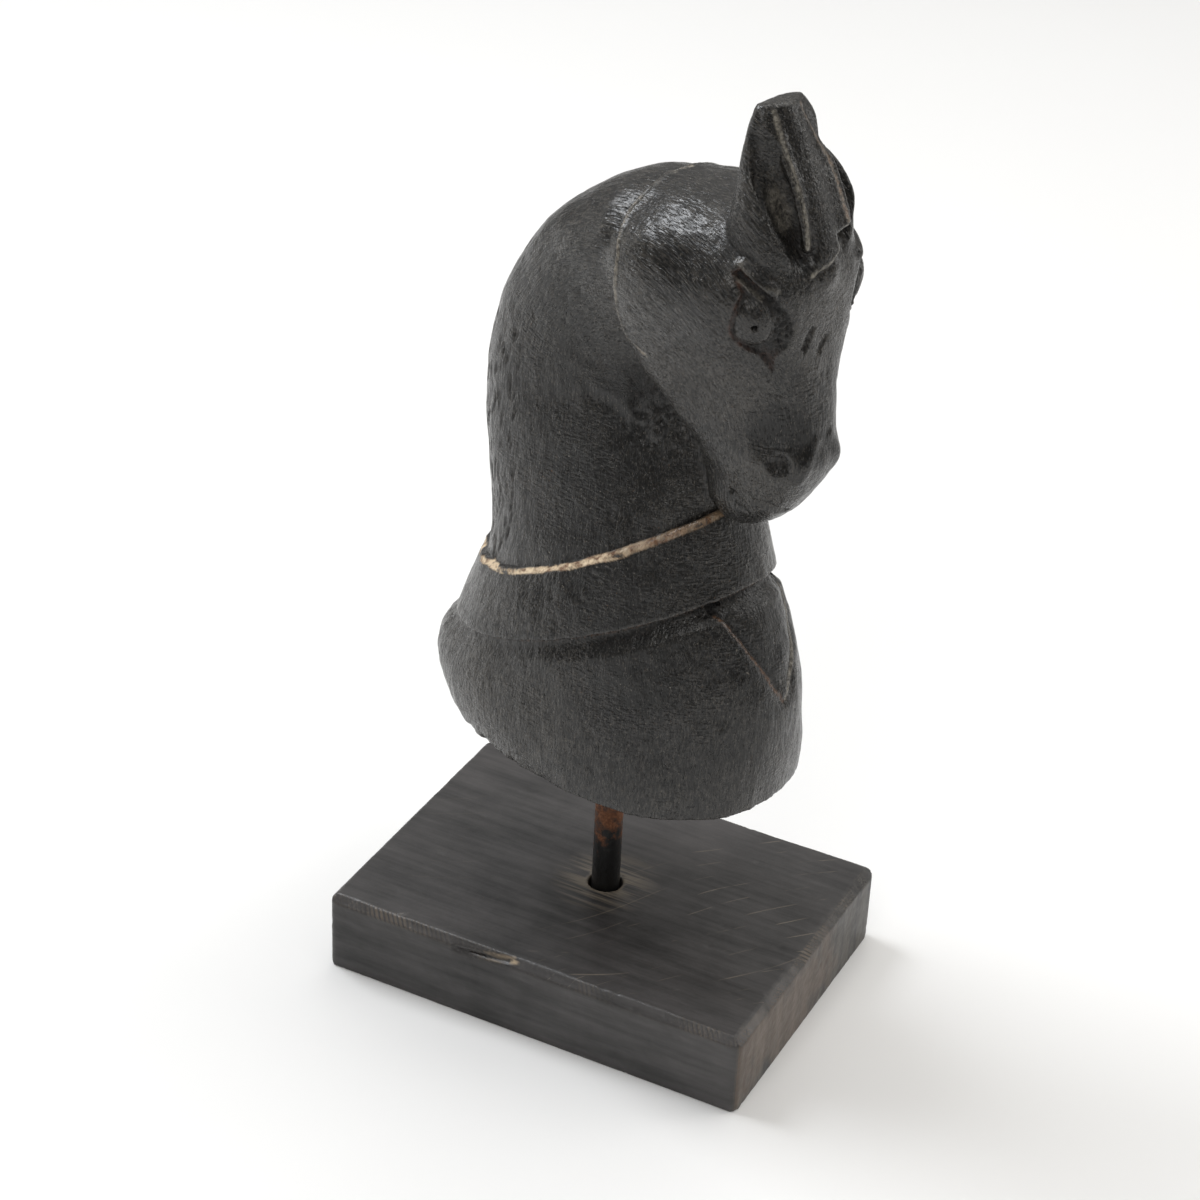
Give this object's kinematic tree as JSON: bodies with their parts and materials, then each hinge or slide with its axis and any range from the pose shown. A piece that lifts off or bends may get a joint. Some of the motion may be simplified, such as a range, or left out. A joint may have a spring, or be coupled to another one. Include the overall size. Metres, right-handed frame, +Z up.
{
  "type": "carved wooden horse head on a stand",
  "caption": "Dark carved wooden horse head with collar and breast, held by a steel rod on a rectangular wooden base block.",
  "frame": {"origin": "middle of the underside of the base block", "axes": "+X along the base block's long side, the way the horse faces; +Y to the horse's left; +Z up, along the rod"},
  "size_m": [0.126, 0.09, 0.272],
  "materials": {
    "carved_wood": "ebonised, satin from handling, bare brown wood in worn grooves",
    "rusty_steel": "bare steel with brown rust and traces of black paint",
    "base_wood": "black stain, rubbed on the edges"
  },
  "bodies": {
    "root": {"bust": "carved_wood", "rod": "rusty_steel", "base_block": "base_wood"}
  },
  "joints": []
}
